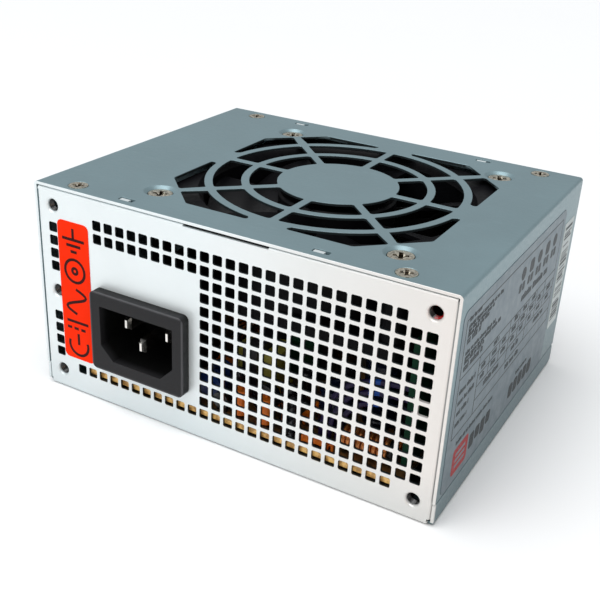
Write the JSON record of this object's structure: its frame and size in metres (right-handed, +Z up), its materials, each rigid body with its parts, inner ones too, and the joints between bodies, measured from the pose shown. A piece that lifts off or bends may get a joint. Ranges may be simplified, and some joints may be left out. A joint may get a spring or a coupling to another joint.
{
  "type": "computer power supply unit",
  "caption": "Small-form-factor computer power supply: folded steel case with a top fan grille, a mains inlet and a vented mesh panel, and a switching board inside.",
  "frame": {"origin": "middle of the case's underside", "axes": "+X along the inlet panel, +Y from the inlet panel to the cable panel, +Z up through the fan"},
  "size_m": [0.1251, 0.106, 0.0635],
  "materials": {
    "cover_steel": "satin zinc-coated sheet, grey with a green cast",
    "tray_steel": "bright zinc-coated sheet",
    "screw_steel": "nickel plated",
    "voltage_red": "printed film, gloss",
    "rating_foil": "silver foil label, satin",
    "serial_paper": "paper label",
    "bushing_black": "moulded",
    "insulation": "insulating film",
    "inlet_plastic": "moulded, slight sheen",
    "contact_metal": "nickel plated brass",
    "mains_insulation": "wire insulation",
    "earth_insulation": "wire insulation",
    "fan_plastic": "glass-filled moulding",
    "fan_steel": "drawn steel",
    "magnet": "bonded ferrite",
    "bearing_bronze": "sintered bronze",
    "clip_plastic": "moulded",
    "stator_steel": "laminated silicon steel",
    "copper": "enamelled copper wire",
    "fan_board": "solder mask",
    "fan_lead_insulation": "wire insulation",
    "plug_nylon": "natural nylon",
    "board": "paper-based laminate",
    "standoff_brass": "turned brass",
    "heatsink_aluminium": "extruded",
    "epoxy_black": "moulded epoxy",
    "pad_silicone": "silicone sheet",
    "bulk_sleeve": "shrink sleeve",
    "output_sleeve": "shrink sleeve",
    "small_sleeve": "shrink sleeve",
    "ferrite": "sintered ferrite",
    "ring_powder": "epoxy coated iron powder",
    "yellow_tape": "polyester tape",
    "green_tape": "polyester tape",
    "x_capacitor_box": "moulded case",
    "y_capacitor_coat": "dipped coating",
    "fuse_glass": "glass tube and plated caps",
    "thermistor_coat": "dipped coating",
    "resistor_body": "lacquered film resistor",
    "control_board_mask": "solder mask",
    "control_lead_insulation": "wire insulation"
  },
  "bodies": {
    "chassis": {"cover": "cover_steel", "base_tray": "tray_steel", "cover_screws": "screw_steel", "fan_screws": "screw_steel", "voltage_label": "voltage_red", "rating_label": "rating_foil", "serial_label": "serial_paper", "cable_bushing": "bushing_black", "insulation_sheet": "insulation", "inlet_housing": "inlet_plastic", "inlet_line_pins": "contact_metal", "inlet_earth_pin": "contact_metal", "mains_wires": "mains_insulation", "earth_wire": "earth_insulation", "earth_screw": "screw_steel", "fan_frame": "fan_plastic", "fan_bearing": "bearing_bronze", "fan_stator": "stator_steel", "fan_coils": "copper", "fan_circuit_board": "fan_board", "fan_leads": "fan_lead_insulation", "fan_plug": "plug_nylon", "main_board": "board", "board_standoffs": "standoff_brass", "board_screws": "screw_steel", "primary_heatsink": "heatsink_aluminium", "secondary_heatsink": "heatsink_aluminium", "power_transistors": "epoxy_black", "output_rectifiers": "epoxy_black", "device_pads": "pad_silicone", "device_screws": "screw_steel", "bridge_rectifier": "epoxy_black", "bulk_capacitors": "bulk_sleeve", "transformer_core": "ferrite", "transformer_winding": "yellow_tape", "driver_core": "ferrite", "driver_winding": "yellow_tape", "standby_core": "ferrite", "standby_winding": "green_tape", "toroid_core": "ring_powder", "toroid_winding": "copper", "rod_choke_core": "ferrite", "rod_choke_winding": "copper", "line_filter_core": "ferrite", "line_filter_windings": "copper", "x_capacitor": "x_capacitor_box", "y_capacitors": "y_capacitor_coat", "fuse": "fuse_glass", "thermistor": "thermistor_coat", "output_capacitors": "output_sleeve", "small_capacitors": "small_sleeve", "resistors": "resistor_body", "control_board": "control_board_mask", "control_chips": "epoxy_black", "control_wires": "control_lead_insulation"},
    "fan_rotor": {"fan_impeller": "fan_plastic", "fan_rotor_cup": "fan_steel", "fan_magnet": "magnet", "fan_shaft": "fan_steel", "fan_shaft_clip": "clip_plastic"}
  },
  "joints": [
    {"name": "fan_spin", "type": "hinge", "parent": "chassis", "child": "fan_rotor", "pos_m": [0.0054, 0, 0.0487], "axis": [0, 0, 1], "continuous": true}
  ]
}
